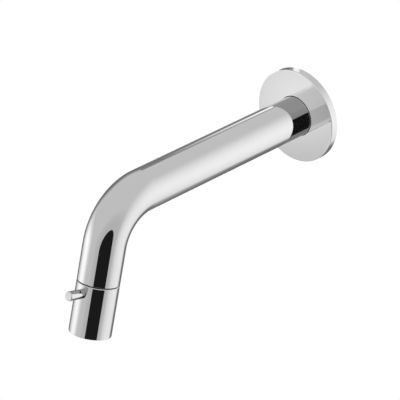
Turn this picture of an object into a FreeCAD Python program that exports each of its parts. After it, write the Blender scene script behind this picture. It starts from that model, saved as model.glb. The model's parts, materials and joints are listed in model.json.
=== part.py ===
import FreeCAD, Part
import math
import os
from types import SimpleNamespace

import Sketcher
from FreeCAD import Placement, Rotation, Vector

# Wall-mounted basin tap: a bent spout on a wall nipple, with a quarter-turn outlet sleeve.
# Millimetres and degrees. The origin is where the spout's axis meets the wall, the wall is the
# plane y = 0, the spout stands out towards -Y and +Z is up. The drop is the straight end below
# the bend. Heights on it count from its foot, up along its axis.

SIZES = (
    # Spout
    ("tube_radius", 12.0),
    ("tube_wall", 1.5),
    ("tube_wall_gap", 0.5),
    ("straight_run", 132.2),
    ("bend_radius", 30.0),
    ("bend_angle", 76.0),
    ("top_run", 3.73),
    ("seam_height", 0.5),
    ("edge_break", 0.3),
    # Rosette, its ring and its gasket
    ("rosette_radius", 28.0),
    ("rosette_lip", 1.1),
    ("rosette_edge", 0.5),
    ("rosette_rim", 1.5),
    ("rosette_recess", 2.0),
    ("rosette_gap", 0.25),
    ("rosette_ring_section", 1.5),
    ("ring_gap", 0.05),
    ("gasket_gap", 0.6),
    ("gasket_side_gap", 0.2),
    # Wall nipple with its rings and the grub screw
    ("thread_radius", 10.478),
    ("thread_length", 15.0),
    ("thread_chamfer", 1.0),
    ("relief_depth", 1.2),
    ("relief_length", 1.5),
    ("thread_wall", 4.4),
    ("spigot_gap", 0.1),
    ("spigot_chamfer", 0.8),
    ("nipple_wall", 4.4),
    ("hexagon_depth", 10.0),
    ("nipple_ring_section", 1.5),
    ("nipple_ring_offset", 7.0),
    ("nipple_ring_pitch", 4.0),
    ("nipple_ring_land", 3.0),
    ("groove_play", 0.5),
    ("grub_distance", 10.0),
    ("grub_radius", 2.0),
    ("grub_length", 3.0),
    ("grub_sink", 0.2),
    ("grub_socket_radius", 1.15),
    ("grub_socket_depth", 1.4),
    ("thread_clearance", 0.05),
    # Cartridge
    ("solder_gap", 0.05),
    ("carrier_wall", 1.2),
    ("carrier_top", 1.5),
    ("carrier_clearance", 0.2),
    ("housing_wall", 2.0),
    ("housing_ledge", 1.9),
    ("housing_top_gap", 0.1),
    ("housing_ring_section", 1.05),
    ("housing_ring_rise", 2.2),
    ("ledge_rise", 0.6),
    ("washer_height", 0.5),
    ("flange_height", 2.9),
    ("disc_height", 3.0),
    ("disc_fit", 0.1),
    ("port_inner", 1.6),
    ("port_width", 3.4),
    ("port_angle", 78.0),
    ("lug_angle", 20.0),
    ("lug_angle_play", 1.0),
    ("disc_lug", 0.8),
    ("seat_height", 1.5),
    ("seat_width", 1.2),
    ("moving_gap", 0.3),
    ("running_fit", 0.05),
    # Spindle and its stop
    ("quarter_turn", 90.0),
    ("stop_angle", 16.0),
    ("stop_play", 0.5),
    ("stop_depth", 0.7),
    ("flange_width", 1.3),
    ("spindle_wall", 2.4),
    ("bar_depth", 1.1),
    ("bar_width", 2.4),
    ("bar_height", 1.1),
    ("bar_play", 0.1),
    ("neck_wall", 1.95),
    ("neck_reach", 2.2),
    ("neck_clearance", 0.5),
    ("spindle_ring_section", 1.05),
    ("spindle_ring_start", 1.8),
    ("spindle_ring_pitch", 2.8),
    # Slide ring at the seam
    ("slide_ring_inset", 0.3),
    ("slide_collar", 2.0),
    ("slide_collar_gap", 0.1),
    # Outlet sleeve and its pin
    ("sleeve_length", 29.7),
    ("foot_round", 0.25),
    ("foot_wall", 2.7),
    ("flare_height", 2.5),
    ("flare_width", 1.5),
    ("lever_drop", 5.12),
    ("lever_radius", 2.7),
    ("lever_length", 10.4),
    ("lever_seat", 0.6),
    ("lever_round", 0.4),
    ("stud_radius", 1.5),
    ("stud_thread", 5.6),
    ("stud_bite", 1.0),
    ("stud_play", 0.1),
    ("stud_end_gap", 0.2),
    # Aerator
    ("aerator_recess", 1.0),
    ("aerator_wall", 1.1),
    ("aerator_lip", 0.7),
    ("aerator_lip_height", 0.8),
    ("key_notch_width", 1.8),
    ("key_notch_height", 0.6),
    ("seal_height", 1.5),
    ("seal_width", 2.2),
    ("seal_gap", 0.1),
    ("grid_height", 4.0),
    ("cell_radius", 0.75),
    ("cell_rim", 1.35),
    ("regulator_height", 2.0),
    ("jet_radius", 0.6),
    ("jet_rim", 4.1),
    ("strainer_height", 2.7),
    ("strainer_plate", 0.8),
    ("strainer_wall", 0.8),
    ("strainer_hole", 0.45),
    ("strainer_rim", 1.15),
)

CELL_RINGS = 3
CELLS_PER_RING = 6
JETS = 8
PAIR = 2
HEXAGON_SIDES = 6
OVERCUT = 1.0
TOLERANCE = 1e-4


class Size:
    """A length or an angle: the sheet expression that drives it and its value now."""

    def __init__(self, text, value):
        self.text = text
        self.value = value

    def __add__(self, other):
        return Size(f"({self.text} + {other.text})", self.value + other.value)

    def __sub__(self, other):
        return Size(f"({self.text} - {other.text})", self.value - other.value)

    def __mul__(self, other):
        other = as_size(other)
        return Size(f"({self.text} * {other.text})", self.value * other.value)

    def __truediv__(self, other):
        other = as_size(other)
        return Size(f"({self.text} / {other.text})", self.value / other.value)

    def __neg__(self):
        return ZERO - self


def as_size(number):
    """Give a plain number as a size that no cell drives."""
    if isinstance(number, Size):
        return number
    return Size(str(number), float(number))


def sine(angle):
    return Size(f"sin({angle.text})", math.sin(math.radians(angle.value)))


def cosine(angle):
    return Size(f"cos({angle.text})", math.cos(math.radians(angle.value)))


def smaller(first, second):
    return Size(f"min({first.text}; {second.text})", min(first.value, second.value))


def fill_sheet(doc):
    """Write each driving size in a cell of its own and return them as named sizes."""
    sheet = doc.addObject("Spreadsheet::Sheet", "sizes")
    named = {}
    for row, (name, value) in enumerate(SIZES, start=1):
        sheet.set(f"A{row}", name)
        sheet.set(f"B{row}", str(value))
        sheet.setAlias(f"B{row}", name)
        named[name] = Size(f"sizes.{name}", value)
    doc.recompute()
    return SimpleNamespace(**named)


ZERO = Size("0", 0.0)
QUARTER = Size("90", 90.0)
PAST = Size(str(OVERCUT), OVERCUT)

doc = FreeCAD.newDocument("basin_tap")
d = fill_sheet(doc)
pieces = []


def bind(target, name, size):
    target.setExpression(name, size.text)


def place(target, y, z, lean):
    """Put an object at (0, y, z), leaning about X."""
    target.Placement = Placement(Vector(0, y.value, z.value), Rotation(Vector(1, 0, 0), lean.value))
    bind(target, "Placement.Base.y", y)
    bind(target, "Placement.Base.z", z)
    bind(target, "Placement.Rotation.Angle", lean)


def new_body(label):
    body = doc.addObject("PartDesign::Body", label)
    body.Label = label
    pieces.append(body)
    return body


def origin_feature(body, role):
    return next(item for item in body.Origin.OriginFeatures if item.Role == role)


def new_sketch(body, name, plane):
    sketch = body.newObject("Sketcher::SketchObject", name)
    sketch.AttachmentSupport = [(origin_feature(body, plane), "")]
    sketch.MapMode = "FlatFace"
    return sketch


def hold(sketch, edge, end, across=None, up=None):
    """Hold one end of a sketch edge at its sizes from the sketch's origin."""
    for kind, size in (("DistanceX", across), ("DistanceY", up)):
        if size is not None:
            row = sketch.addConstraint(Sketcher.Constraint(kind, -1, 1, edge, end, size.value))
            sketch.setExpression(f"Constraints[{row}]", size.text)


def box(left, right, low, high):
    return [(left, low), (right, low), (right, high), (left, high)]


def outline(sketch, corners):
    """Draw a closed outline of straight edges through the corners."""
    count = len(corners)
    points = [Vector(across.value, up.value, 0) for across, up in corners]
    for edge in range(count):
        sketch.addGeometry(Part.LineSegment(points[edge], points[(edge + 1) % count]), False)
    for edge in range(count):
        sketch.addConstraint(Sketcher.Constraint("Coincident", edge, 2, (edge + 1) % count, 1))
    for edge, (across, up) in enumerate(corners):
        hold(sketch, edge, 1, across, up)


def finish(body, feature):
    body.Tip = feature
    doc.recompute()
    return feature


def spin(body, kind, name, corners, plane="XZ_Plane", ahead=None, behind=None):
    """Turn an outline of (radius, height) corners about the body's Z axis, whole or part way."""
    sketch = new_sketch(body, f"{name}_outline", plane)
    outline(sketch, corners)
    feature = body.newObject(kind, name)
    feature.Profile = sketch
    feature.ReferenceAxis = (sketch, ["V_Axis"])
    feature.Angle = 360
    if ahead is not None:
        feature.Type = "TwoAngles"
        bind(feature, "Angle", ahead)
        bind(feature, "Angle2", behind)
    return finish(body, feature)


def turned(body, corners):
    return spin(body, "PartDesign::Revolution", f"{body.Name}_turned", corners)


def cut_round(body, name, corners, plane="XZ_Plane", ahead=None, behind=None):
    return spin(body, "PartDesign::Groove", f"{body.Name}_{name}", corners, plane, ahead, behind)


def cut_ring_seat(body, name, floor, surface, centre, width):
    """Cut a groove for a ring round the outside of a turned piece."""
    low = centre - width / 2
    return cut_round(body, name, box(floor, surface + PAST, low, low + width))


def drill(body, name, corners):
    """Cut a stepped round hole. The first and last corners lie on its axis, in the plane x = 0."""
    sketch = new_sketch(body, f"{body.Name}_{name}_outline", "YZ_Plane")
    outline(sketch, corners)
    last = len(corners) - 1
    ends = [Vector(across.value, up.value, 0) for across, up in (corners[0], corners[last])]
    axis = sketch.addGeometry(Part.LineSegment(*ends), True)
    sketch.addConstraint(Sketcher.Constraint("Coincident", axis, 1, 0, 1))
    sketch.addConstraint(Sketcher.Constraint("Coincident", axis, 2, last, 1))
    feature = body.newObject("PartDesign::Groove", f"{body.Name}_{name}")
    feature.Profile = sketch
    feature.ReferenceAxis = (sketch, ["Axis0"])
    feature.Angle = 360
    return finish(body, feature)


def cut_through(body, name, sketch):
    feature = body.newObject("PartDesign::Pocket", f"{body.Name}_{name}")
    feature.Profile = sketch
    feature.SideType = "Symmetric"
    feature.Type = "ThroughAll"
    return finish(body, feature)


def cut_slot(body, name, plane, corners):
    """Cut an outline right through a piece, square to a plane of the body."""
    sketch = new_sketch(body, f"{body.Name}_{name}_outline", plane)
    outline(sketch, corners)
    return cut_through(body, name, sketch)


def polar(body, feature, count, angle=360):
    pattern = body.newObject("PartDesign::PolarPattern", f"{feature.Name}_pattern")
    pattern.Originals = [feature]
    pattern.Axis = (origin_feature(body, "Z_Axis"), [""])
    pattern.Angle = angle
    pattern.Occurrences = count
    return finish(body, pattern)


def hole(body, name, ring_radius, radius):
    """Cut a round hole along Z, at a radius from the axis."""
    sketch = new_sketch(body, f"{body.Name}_{name}_outline", "XY_Plane")
    circle = Part.Circle(Vector(ring_radius.value, 0, 0), Vector(0, 0, 1), radius.value)
    sketch.addGeometry(circle, False)
    hold(sketch, 0, 3, ring_radius, ZERO)
    row = sketch.addConstraint(Sketcher.Constraint("Radius", 0, radius.value))
    sketch.setExpression(f"Constraints[{row}]", radius.text)
    return cut_through(body, name, sketch)


def hole_rings(body, reach, radius):
    """Cut a hole on the axis and rings of holes round it, evenly spaced out to a reach."""
    pitch = (reach - radius) / CELL_RINGS
    hole(body, "centre_hole", ZERO, radius)
    for ring in range(1, CELL_RINGS + 1):
        polar(body, hole(body, f"hole_{ring}", pitch * ring, radius), CELLS_PER_RING * ring)


def hexagon_cut(body, circumradius, low, height):
    prism = body.newObject("PartDesign::SubtractivePrism", f"{body.Name}_hexagon")
    prism.Polygon = HEXAGON_SIDES
    bind(prism, "Circumradius", circumradius)
    bind(prism, "Height", height)
    prism.Placement = Placement(Vector(0, 0, low.value), Rotation())
    bind(prism, "Placement.Base.z", low)
    return finish(body, prism)


def ring_edge(feature, radius, centre):
    """Name the round edges of a feature that have this radius and centre."""
    names = []
    for number, edge in enumerate(feature.Shape.Edges, start=1):
        curve = edge.Curve
        if isinstance(curve, Part.Circle) and abs(curve.Radius - radius.value) < TOLERANCE:
            if curve.Center.distanceToPoint(centre) < TOLERANCE:
                names.append(f"Edge{number}")
    return names


def soften(body, kind, radius, centre, size):
    """Round or chamfer the round edge at a radius and centre."""
    base = body.Tip
    feature = body.newObject(f"PartDesign::{kind}", f"{body.Name}_{kind.lower()}")
    feature.Base = (base, ring_edge(base, radius, centre))
    bind(feature, "Radius" if kind == "Fillet" else "Size", size)
    return finish(body, feature)


def on_axis(height):
    return Vector(0, 0, height.value)


def torus(name, radius, section):
    ring = doc.addObject("Part::Torus", name)
    bind(ring, "Radius1", radius)
    bind(ring, "Radius2", section / 2)
    return ring


def ring_pair(label, rings):
    """Group two rings as one named piece."""
    pair = doc.addObject("Part::Compound", label)
    pair.Label = label
    pair.Links = rings
    pieces.append(pair)


# Heights of the cartridge stack and of the drop
tube_end = d.sleeve_length + d.seam_height
carrier_low = tube_end + d.slide_collar + d.carrier_clearance
ledge_low = carrier_low + d.ledge_rise
shoulder = ledge_low + d.housing_ledge
washer_top = shoulder + d.washer_height
flange_low = washer_top + d.running_fit
flange_top = flange_low + d.flange_height
turning_top = flange_top + d.disc_height
fixed_low = turning_top + d.running_fit
fixed_top = fixed_low + d.disc_height
seat_top = fixed_top + d.seat_height
carrier_high = seat_top + d.carrier_top
drop_length = carrier_high + d.top_run

# Radii from the tube inwards
tube_bore = d.tube_radius - d.tube_wall
carrier_radius = tube_bore - d.solder_gap
carrier_bore = carrier_radius - d.carrier_wall
housing_radius = carrier_bore - d.thread_clearance
housing_bore = housing_radius - d.housing_wall
fixed_radius = housing_bore - d.disc_fit
moving_radius = housing_bore - d.moving_gap
stem_radius = moving_radius - d.flange_width
spindle_bore = stem_radius - d.spindle_wall
neck_bore = stem_radius + d.running_fit
neck_radius = neck_bore + d.neck_wall
port_outer = d.port_inner + d.port_width

# Foot of the drop, its direction and points on its axis
lean = d.bend_angle - QUARTER
wall_lean = -QUARTER
bend_end_y = -(d.straight_run + d.bend_radius * sine(d.bend_angle))
bend_end_z = d.bend_radius * cosine(d.bend_angle) - d.bend_radius
foot_y = bend_end_y - drop_length * cosine(d.bend_angle)
foot_z = bend_end_z - drop_length * sine(d.bend_angle)


def drop_point(height):
    return foot_y + height * cosine(d.bend_angle), foot_z + height * sine(d.bend_angle)


def drop_body(label):
    """Start a piece whose Z axis runs up the drop from its foot."""
    body = new_body(label)
    place(body, foot_y, foot_z, lean)
    return body


def wall_body(label):
    """Start a piece whose Z axis runs into the wall, along the spout's axis."""
    body = new_body(label)
    place(body, ZERO, ZERO, wall_lean)
    return body


# Spout tube
def make_spout_tube():
    body = new_body("spout_tube")
    section = new_sketch(body, "tube_section", "XZ_Plane")
    for edge, radius in enumerate((d.tube_radius, tube_bore)):
        section.addGeometry(Part.Circle(Vector(0, 0, 0), Vector(0, 0, 1), radius.value), False)
        section.addConstraint(Sketcher.Constraint("Coincident", edge, 3, -1, 1))
        row = section.addConstraint(Sketcher.Constraint("Radius", edge, radius.value))
        section.setExpression(f"Constraints[{row}]", radius.text)
    section.AttachmentOffset = Placement(Vector(0, 0, d.tube_wall_gap.value), Rotation())
    bind(section, "AttachmentOffset.Base.z", d.tube_wall_gap)

    tail_y, tail_z = drop_point(tube_end)
    path = new_sketch(body, "tube_path", "YZ_Plane")
    start = Vector(-d.tube_wall_gap.value, 0, 0)
    bend_start = Vector(-d.straight_run.value, 0, 0)
    bend_end = Vector(bend_end_y.value, bend_end_z.value, 0)
    tail = Vector(tail_y.value, tail_z.value, 0)
    bend_centre = bend_start - Vector(0, d.bend_radius.value, 0)
    bend_circle = Part.Circle(bend_centre, Vector(0, 0, 1), d.bend_radius.value)
    quarter = math.radians(QUARTER.value)
    turn = math.radians(d.bend_angle.value)
    path.addGeometry(Part.LineSegment(start, bend_start), False)
    path.addGeometry(Part.ArcOfCircle(bend_circle, quarter, quarter + turn), False)
    path.addGeometry(Part.LineSegment(bend_end, tail), False)
    path.addConstraint(Sketcher.Constraint("Coincident", 0, 2, 1, 1))
    path.addConstraint(Sketcher.Constraint("Coincident", 1, 2, 2, 1))
    hold(path, 0, 1, -d.tube_wall_gap, ZERO)
    hold(path, 0, 2, -d.straight_run, ZERO)
    hold(path, 1, 3, -d.straight_run, -d.bend_radius)
    hold(path, 2, 1, bend_end_y)
    hold(path, 2, 2, tail_y, tail_z)

    pipe = body.newObject("PartDesign::AdditivePipe", "tube_pipe")
    pipe.Profile = section
    pipe.Spine = (path, ["Edge1", "Edge2", "Edge3"])
    finish(body, pipe)

    across = d.grub_radius + d.thread_clearance - d.grub_distance
    inside = PAST - tube_bore
    outside = -(d.tube_radius + PAST)
    centre = -d.grub_distance
    drill(body, "screw_hole", [(centre, inside), (across, inside), (across, outside), (centre, outside)])
    soften(body, "Chamfer", d.tube_radius, Vector(0, tail_y.value, tail_z.value), d.edge_break)


# Wall nipple, its rings and the grub screw
spigot_radius = tube_bore - d.spigot_gap
nipple_bore = smaller(spigot_radius - d.nipple_wall, d.thread_radius - d.thread_wall)
nipple_ring_floor = tube_bore - d.nipple_ring_section - d.ring_gap * 2
first_ring = d.grub_distance + d.nipple_ring_offset
second_ring = first_ring + d.nipple_ring_pitch
spigot_length = second_ring + d.nipple_ring_land
nipple_ring_places = [-first_ring, -second_ring]
grub_high = d.tube_radius - d.grub_sink
grub_low = grub_high - d.grub_length


def make_wall_nipple():
    body = wall_body("wall_nipple")
    relief = d.thread_radius - d.relief_depth
    thread_end = d.thread_length + d.thread_chamfer
    turned(body, [
        (nipple_bore, -spigot_length),
        (spigot_radius - d.spigot_chamfer, -spigot_length),
        (spigot_radius, d.spigot_chamfer - spigot_length),
        (spigot_radius, -d.relief_length),
        (relief, -d.relief_length),
        (relief, ZERO),
        (d.thread_radius, ZERO),
        (d.thread_radius, d.thread_length),
        (d.thread_radius - d.thread_chamfer, thread_end),
        (nipple_bore, thread_end),
    ])
    width = d.nipple_ring_section + d.groove_play
    for number, centre in enumerate(nipple_ring_places):
        cut_ring_seat(body, f"ring_seat_{number}", nipple_ring_floor, spigot_radius, centre, width)
    cut_ring_seat(body, "screw_seat", grub_low - d.thread_clearance, spigot_radius, -d.grub_distance,
                  d.grub_radius * 2 + d.groove_play)
    hexagon_cut(body, nipple_bore / cosine(as_size(180 / HEXAGON_SIDES)), -spigot_length, d.hexagon_depth)


def make_nipple_rings():
    rings = []
    radius = nipple_ring_floor + d.ring_gap + d.nipple_ring_section / 2
    for number, centre in enumerate(nipple_ring_places):
        ring = torus(f"nipple_ring_{number}", radius, d.nipple_ring_section)
        place(ring, centre, ZERO, wall_lean)
        rings.append(ring)
    ring_pair("nipple_o_rings", rings)


def make_grub_screw():
    body = new_body("grub_screw")
    place(body, -d.grub_distance, ZERO, QUARTER * 2)
    turned(body, box(ZERO, d.grub_radius, grub_low, grub_high))
    hexagon_cut(body, d.grub_socket_radius, grub_high - d.grub_socket_depth, d.grub_socket_depth)


# Rosette, the ring that grips the tube and the gasket
def make_rosette():
    body = wall_body("rosette")
    hole_radius = d.tube_radius + d.rosette_gap
    seat_radius = d.tube_radius + d.rosette_ring_section + d.ring_gap * 2
    seat_floor = -(d.rosette_recess + d.rosette_ring_section + d.ring_gap * 2)
    front = seat_floor - d.rosette_lip
    inner_rim = d.rosette_radius - d.rosette_rim
    turned(body, [
        (hole_radius, front),
        (d.rosette_radius, front),
        (d.rosette_radius, ZERO),
        (inner_rim, ZERO),
        (inner_rim, -d.rosette_recess),
        (seat_radius, -d.rosette_recess),
        (seat_radius, seat_floor),
        (hole_radius, seat_floor),
    ])
    soften(body, "Fillet", d.rosette_radius, on_axis(front), d.rosette_edge)


def make_rosette_ring():
    half = d.rosette_ring_section / 2
    ring = torus("rosette_o_ring", d.tube_radius + d.ring_gap + half, d.rosette_ring_section)
    ring.Label = "rosette_o_ring"
    place(ring, -(d.rosette_recess + d.ring_gap + half), ZERO, wall_lean)
    pieces.append(ring)


def make_rosette_gasket():
    body = wall_body("rosette_gasket")
    outer = d.rosette_radius - d.rosette_rim - d.gasket_side_gap
    turned(body, box(d.tube_radius + d.gasket_gap, outer, -d.rosette_recess, ZERO))


# Fixed pieces of the cartridge
slide_bore = neck_radius + d.neck_clearance
neck_low = tube_end - d.neck_reach
housing_top = seat_top - d.housing_top_gap
seat_bore = fixed_radius - d.seat_width
housing_ring_floor = carrier_bore - d.housing_ring_section - d.ring_gap * 2
housing_ring_centre = ledge_low + d.housing_ring_rise
stop_radius = housing_bore - d.stop_depth
half_lug = d.lug_angle / 2
half_port = d.port_angle / 2


def make_valve_carrier():
    turned(drop_body("valve_carrier"), [
        (carrier_bore, carrier_low),
        (carrier_radius, carrier_low),
        (carrier_radius, carrier_high),
        (seat_bore, carrier_high),
        (seat_bore, seat_top),
        (carrier_bore, seat_top),
    ])


def make_cartridge_housing():
    body = drop_body("cartridge_housing")
    turned(body, [
        (neck_bore, neck_low),
        (neck_radius, neck_low),
        (neck_radius, ledge_low),
        (housing_radius, ledge_low),
        (housing_radius, housing_top),
        (housing_bore, housing_top),
        (housing_bore, shoulder),
        (neck_bore, shoulder),
    ])
    cut_ring_seat(body, "ring_seat", housing_ring_floor, housing_radius, housing_ring_centre,
                  d.housing_ring_section + d.groove_play)
    half_slot = half_lug + d.lug_angle_play / 2
    lug_floor = housing_bore + d.disc_lug
    slots = cut_round(body, "lug_slot", box(stop_radius, lug_floor, fixed_low, housing_top + PAST),
                      "XZ_Plane", half_slot, half_slot)
    polar(body, slots, PAIR)
    half_stop = d.stop_angle / 2
    rib = box(stop_radius, housing_bore + d.stop_depth, flange_low, flange_top - d.moving_gap)
    spin(body, "PartDesign::Revolution", "stop_rib", rib, "XZ_Plane", half_stop, half_stop)


def make_housing_ring():
    radius = housing_ring_floor + d.ring_gap + d.housing_ring_section / 2
    ring = torus("housing_o_ring", radius, d.housing_ring_section)
    ring.Label = "housing_o_ring"
    place(ring, *drop_point(housing_ring_centre), lean)
    pieces.append(ring)


def make_seat_ring():
    turned(drop_body("seat_ring"), box(seat_bore, fixed_radius, fixed_top, seat_top))


def make_fixed_disc():
    body = drop_body("fixed_disc")
    turned(body, box(ZERO, fixed_radius, fixed_low, fixed_top))
    lug = box(port_outer, fixed_radius + d.disc_lug, fixed_low, fixed_top)
    polar(body, spin(body, "PartDesign::Revolution", "disc_lug", lug, "XZ_Plane", half_lug, half_lug), PAIR)
    port = box(d.port_inner, port_outer, fixed_low - PAST, fixed_top + PAST)
    polar(body, cut_round(body, "port", port, "YZ_Plane", half_port, half_port), PAIR)


def make_thrust_washer():
    inner = stem_radius + d.moving_gap
    turned(drop_body("thrust_washer"), box(inner, fixed_radius, shoulder, washer_top))


def make_slide_ring():
    outer = d.tube_radius - d.slide_ring_inset
    collar = tube_bore - d.slide_collar_gap
    low = d.sleeve_length + d.running_fit
    high = tube_end + d.slide_collar
    turned(drop_body("slide_ring"), [
        (slide_bore, low),
        (outer, low),
        (outer, tube_end),
        (collar, tube_end),
        (collar, high),
        (slide_bore, high),
    ])


# Heights of the aerator, from the mouth upwards
grid_low = d.aerator_recess + d.aerator_lip_height
grid_top = grid_low + d.grid_height
regulator_top = grid_top + d.regulator_height
aerator_top = regulator_top + d.strainer_height
chamber_depth = aerator_top + d.seal_height

# Turning pieces of the cartridge
lever_height = d.sleeve_length - d.lever_drop
hub_low = chamber_depth + d.flare_height
notch_radius = stop_radius - d.moving_gap
bar_top = flange_top + d.bar_height
dish_radius = notch_radius - d.bar_depth
notch_floor = stem_radius - d.stud_bite
spindle_ring_floor = neck_bore - d.spindle_ring_section - d.ring_gap * 2
spindle_ring_places = [
    neck_low + d.spindle_ring_start,
    neck_low + d.spindle_ring_start + d.spindle_ring_pitch,
]


def make_turning_disc():
    body = drop_body("turning_disc")
    turned(body, box(ZERO, moving_radius, flange_top, turning_top))
    port = box(d.port_inner, port_outer, flange_top - PAST, turning_top + PAST)
    polar(body, cut_round(body, "port", port, "XZ_Plane", half_port, half_port), PAIR)
    half_width = d.bar_width / 2 + d.bar_play
    slot = box(-half_width, half_width, flange_top - PAST, bar_top + d.bar_play)
    cut_slot(body, "drive_slot", "XZ_Plane", slot)


def make_spindle():
    body = drop_body("spindle")
    turned(body, [
        (ZERO, hub_low),
        (stem_radius, hub_low),
        (stem_radius, flange_low),
        (moving_radius, flange_low),
        (moving_radius, flange_top),
        (ZERO, flange_top),
    ])
    bar_sketch = new_sketch(body, "drive_bar_outline", "XZ_Plane")
    half_bar = d.bar_width / 2
    outline(bar_sketch, box(-half_bar, half_bar, flange_top, bar_top))
    bar = body.newObject("PartDesign::Pad", "drive_bar")
    bar.Profile = bar_sketch
    bar.SideType = "Symmetric"
    bind(bar, "Length", notch_radius * 2)
    finish(body, bar)
    cut_round(body, "bore", [
        (ZERO, hub_low - PAST),
        (spindle_bore, hub_low - PAST),
        (spindle_bore, flange_low),
        (dish_radius, flange_top),
        (dish_radius, bar_top + PAST),
        (ZERO, bar_top + PAST),
    ])
    width = d.spindle_ring_section + d.groove_play
    for number, centre in enumerate(spindle_ring_places):
        cut_ring_seat(body, f"ring_seat_{number}", spindle_ring_floor, stem_radius, centre, width)
    behind = d.stop_angle / 2 + d.stop_play
    notch = box(notch_radius, moving_radius + PAST, flange_low - PAST, flange_top)
    cut_round(body, "stop_notch", notch, "XZ_Plane", d.quarter_turn + behind, behind)
    half_notch = d.stud_radius + d.stud_play
    flat = box(-(stem_radius + PAST), -notch_floor, lever_height - half_notch, lever_height + half_notch)
    cut_slot(body, "stud_notch", "YZ_Plane", flat)


def make_spindle_rings():
    rings = []
    radius = spindle_ring_floor + d.ring_gap + d.spindle_ring_section / 2
    for number, centre in enumerate(spindle_ring_places):
        ring = torus(f"spindle_ring_{number}", radius, d.spindle_ring_section)
        place(ring, *drop_point(centre), lean)
        rings.append(ring)
    ring_pair("spindle_o_rings", rings)


# Outlet sleeve, pin and stud
chamber_radius = d.tube_radius - d.foot_wall
hub_bore = stem_radius + d.running_fit
lever_base = d.tube_radius - d.lever_seat
lever_end = d.tube_radius + d.lever_length
stud_low = notch_floor + d.running_fit
stud_high = lever_base + d.stud_thread
stud_hole = d.stud_radius + d.thread_clearance


def make_outlet_sleeve():
    body = drop_body("outlet_sleeve")
    recess_floor = neck_low - d.neck_clearance
    turned(body, [
        (chamber_radius, ZERO),
        (d.tube_radius, ZERO),
        (d.tube_radius, d.sleeve_length - d.edge_break),
        (d.tube_radius - d.edge_break, d.sleeve_length),
        (slide_bore, d.sleeve_length),
        (slide_bore, recess_floor),
        (hub_bore, recess_floor),
        (hub_bore, hub_low),
        (hub_bore + d.flare_width, chamber_depth),
        (chamber_radius, chamber_depth),
    ])
    soften(body, "Fillet", d.tube_radius, on_axis(ZERO), d.foot_round)
    outside = -(d.tube_radius + PAST)
    inside = PAST - hub_bore
    seat_high = lever_height + d.lever_radius + d.running_fit
    drill(body, "lever_hole", [
        (outside, lever_height),
        (outside, seat_high),
        (-lever_base, seat_high),
        (-lever_base, lever_height + stud_hole),
        (inside, lever_height + stud_hole),
        (inside, lever_height),
    ])


def lever_body(label):
    """Start a piece whose Z axis runs along the pin, from the axis of the drop."""
    body = new_body(label)
    place(body, *drop_point(lever_height), d.bend_angle)
    return body


def make_lever_stud():
    turned(lever_body("lever_stud"), box(ZERO, d.stud_radius, stud_low, stud_high))


def make_pin_lever():
    body = lever_body("pin_lever")
    hole_end = stud_high + d.stud_end_gap
    turned(body, [
        (stud_hole, lever_base),
        (d.lever_radius, lever_base),
        (d.lever_radius, lever_end),
        (ZERO, lever_end),
        (ZERO, hole_end),
        (stud_hole, hole_end),
    ])
    soften(body, "Fillet", d.lever_radius, on_axis(lever_end), d.lever_round)


# Aerator
aerator_radius = chamber_radius - d.thread_clearance
aerator_bore = aerator_radius - d.aerator_wall
insert_radius = aerator_bore - d.thread_clearance
plate_low = aerator_top - d.strainer_plate


def make_aerator_housing():
    body = drop_body("aerator_housing")
    turned(body, [
        (aerator_bore - d.aerator_lip, d.aerator_recess),
        (aerator_radius, d.aerator_recess),
        (aerator_radius, aerator_top),
        (aerator_bore, aerator_top),
        (aerator_bore, grid_low),
        (aerator_bore - d.aerator_lip, grid_low),
    ])
    half_width = d.key_notch_width / 2
    notch = box(-half_width, half_width, ZERO, d.aerator_recess + d.key_notch_height)
    polar(body, cut_slot(body, "key_notch", "XZ_Plane", notch), PAIR, QUARTER.value)


def make_aerator_seal():
    outer = chamber_radius - d.seal_gap
    turned(drop_body("aerator_seal"), box(outer - d.seal_width, outer, aerator_top, chamber_depth))


def make_aerator_strainer():
    body = drop_body("aerator_strainer")
    skirt = insert_radius - d.strainer_wall
    turned(body, [
        (skirt, regulator_top),
        (insert_radius, regulator_top),
        (insert_radius, aerator_top),
        (ZERO, aerator_top),
        (ZERO, plate_low),
        (skirt, plate_low),
    ])
    hole_rings(body, skirt - d.strainer_rim, d.strainer_hole)


def make_flow_regulator():
    body = drop_body("flow_regulator")
    turned(body, box(ZERO, insert_radius, grid_top, regulator_top))
    polar(body, hole(body, "jet", insert_radius - d.jet_rim, d.jet_radius), JETS)


def make_aerator_grid():
    body = drop_body("aerator_grid")
    turned(body, box(ZERO, insert_radius, grid_low, grid_top))
    hole_rings(body, insert_radius - d.cell_rim, d.cell_radius)


def check_document():
    """Stop where an object failed or a piece has no sound solid."""
    for item in doc.Objects:
        if "Invalid" in item.State or "Error" in item.State:
            raise RuntimeError(f"{item.Label} failed: {item.State}")
    for piece in pieces:
        if piece.Shape.isNull() or not piece.Shape.isValid() or not piece.Shape.Solids:
            raise RuntimeError(f"{piece.Label} has no sound solid")


MAKERS = (
    make_spout_tube,
    make_wall_nipple,
    make_nipple_rings,
    make_grub_screw,
    make_rosette,
    make_rosette_ring,
    make_rosette_gasket,
    make_valve_carrier,
    make_cartridge_housing,
    make_housing_ring,
    make_seat_ring,
    make_fixed_disc,
    make_thrust_washer,
    make_slide_ring,
    make_turning_disc,
    make_spindle,
    make_spindle_rings,
    make_outlet_sleeve,
    make_lever_stud,
    make_pin_lever,
    make_aerator_housing,
    make_aerator_seal,
    make_aerator_strainer,
    make_flow_regulator,
    make_aerator_grid,
)

for make in MAKERS:
    make()
doc.recompute()
check_document()
os.makedirs("parts", exist_ok=True)
for piece in pieces:
    piece.Shape.exportStep(f"parts/{piece.Label}.step")
    print(piece.Label, len(piece.Shape.Solids), round(piece.Shape.Volume, 2))
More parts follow.
